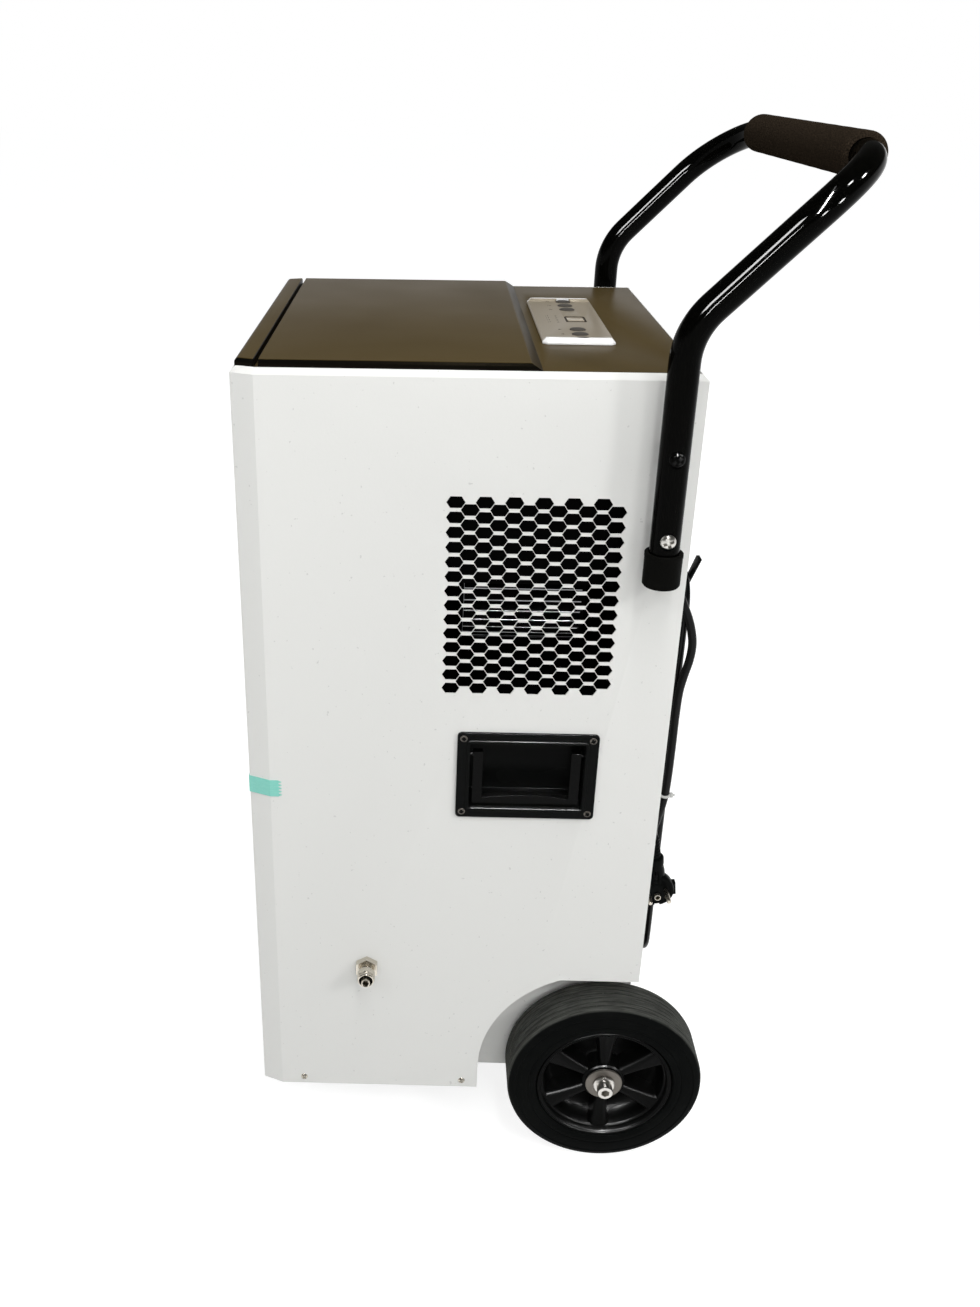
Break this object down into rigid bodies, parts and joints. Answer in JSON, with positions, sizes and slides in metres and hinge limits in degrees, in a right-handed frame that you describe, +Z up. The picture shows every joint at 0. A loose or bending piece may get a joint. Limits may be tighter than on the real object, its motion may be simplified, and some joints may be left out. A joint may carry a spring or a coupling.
{
  "type": "dehumidifier",
  "caption": "Wheeled sheet-steel dehumidifier: upright cabinet, two large wheels, bent push handle, folding side handles, side air outlet, top keypad and drain outlet.",
  "frame": {"origin": "middle of the whole object on the floor, cord left out", "axes": "+Z up, +Y towards the rear where the push handle leans, +X towards the side with the air outlet"},
  "size_m": [0.498, 0.5134, 1.016],
  "materials": {
    "white_paint": "semi-gloss white powder coat",
    "galvanised": "dull zinc",
    "black_paint": "glossy black",
    "cover_black": "fine-grained semi-gloss dark brown-black",
    "black_plastic": "satin black",
    "grey_plastic": "dark grey",
    "silver": "silver lacquer",
    "steel": "bright zinc",
    "nickel": "bright nickel plate",
    "copper": "bare copper",
    "aluminium": "finned",
    "rubber": "matt black",
    "tyre": "matt black tread rubber",
    "cord": "black cord sheath",
    "foam": "fine black foam",
    "tape": "translucent green film",
    "window": "clear grey window"
  },
  "bodies": {
    "chassis": {"base_pan": "white_paint", "side_panel_right": "white_paint", "side_panel_left": "white_paint", "rear_panel": "white_paint", "front_panel": "white_paint", "handle_tube": "black_paint", "handle_screw_upper_right": "black_paint", "handle_screw_upper_left": "black_paint", "compressor": "black_paint", "fan_motor": "black_paint", "top_cover": "cover_black", "front_trim": "cover_black", "intake_grille": "black_plastic", "control_box": "black_plastic", "pull_tray_right": "black_plastic", "pull_tray_left": "black_plastic", "drip_tray": "black_plastic", "fan_housing": "black_plastic", "cord_hook_lower": "black_plastic", "cord_hook_upper": "black_plastic", "cord_gland": "black_plastic", "power_plug": "black_plastic", "air_filter": "grey_plastic", "control_panel": "silver", "handle_screw_lower_right": "steel", "handle_screw_lower_left": "steel", "axle": "steel", "wheel_washer_right": "steel", "wheel_washer_left": "steel", "wheel_screw_right": "steel", "wheel_screw_left": "steel", "drain_fitting": "nickel", "hose_nut": "nickel", "refrigerant_pipe": "copper", "evaporator": "aluminium", "condenser": "aluminium", "end_cap_right": "rubber", "end_cap_left": "rubber", "drain_hose": "rubber", "front_foot_right": "rubber", "front_foot_left": "rubber", "cord_lead": "cord", "cord_hank": "cord", "cord_tail": "cord", "handle_grip": "foam", "transit_tape": "tape", "display_window": "window"},
    "wheel_right": {"tyre_right": "tyre", "wheel_rim_right": "black_plastic"},
    "wheel_left": {"tyre_left": "tyre", "wheel_rim_left": "black_plastic"},
    "fan_wheel": {"impeller": "galvanised"},
    "bail_right": {"pull_bail_right": "black_paint"},
    "bail_left": {"pull_bail_left": "black_paint"},
    "key_1": {"button_1": "grey_plastic"},
    "key_2": {"button_2": "grey_plastic"},
    "key_3": {"button_3": "grey_plastic"},
    "key_4": {"button_4": "grey_plastic"},
    "key_5": {"button_5": "grey_plastic"},
    "key_6": {"button_6": "grey_plastic"}
  },
  "joints": [
    {"name": "wheel_right_spin", "type": "hinge", "parent": "chassis", "child": "wheel_right", "pos_m": [0.204, 0.10225, 0.1], "axis": [1, 0, 0], "continuous": true},
    {"name": "wheel_left_spin", "type": "hinge", "parent": "chassis", "child": "wheel_left", "pos_m": [-0.204, 0.10225, 0.1], "axis": [1, 0, 0], "continuous": true},
    {"name": "fan_spin", "type": "hinge", "parent": "chassis", "child": "fan_wheel", "pos_m": [0.07, 0.01675, 0.632], "axis": [0, 1, 0], "continuous": true},
    {"name": "bail_right_hinge", "type": "hinge", "parent": "chassis", "child": "bail_right", "pos_m": [0.205, 0.00375, 0.4825], "axis": [0, -1, 0], "range_deg": [0, 90]},
    {"name": "bail_left_hinge", "type": "hinge", "parent": "chassis", "child": "bail_left", "pos_m": [-0.205, 0.00375, 0.4825], "axis": [0, 1, 0], "range_deg": [0, 90]},
    {"name": "key_1_press", "type": "slide", "parent": "chassis", "child": "key_1", "axis": [0, 0, -1], "range_m": [0, 0.001], "stiffness_N_per_m": 150, "springref_m": -0.002},
    {"name": "key_2_press", "type": "slide", "parent": "chassis", "child": "key_2", "axis": [0, 0, -1], "range_m": [0, 0.001], "stiffness_N_per_m": 150, "springref_m": -0.002},
    {"name": "key_3_press", "type": "slide", "parent": "chassis", "child": "key_3", "axis": [0, 0, -1], "range_m": [0, 0.001], "stiffness_N_per_m": 150, "springref_m": -0.002},
    {"name": "key_4_press", "type": "slide", "parent": "chassis", "child": "key_4", "axis": [0, 0, -1], "range_m": [0, 0.001], "stiffness_N_per_m": 150, "springref_m": -0.002},
    {"name": "key_5_press", "type": "slide", "parent": "chassis", "child": "key_5", "axis": [0, 0, -1], "range_m": [0, 0.001], "stiffness_N_per_m": 150, "springref_m": -0.002},
    {"name": "key_6_press", "type": "slide", "parent": "chassis", "child": "key_6", "axis": [0, 0, -1], "range_m": [0, 0.001], "stiffness_N_per_m": 150, "springref_m": -0.002}
  ]
}
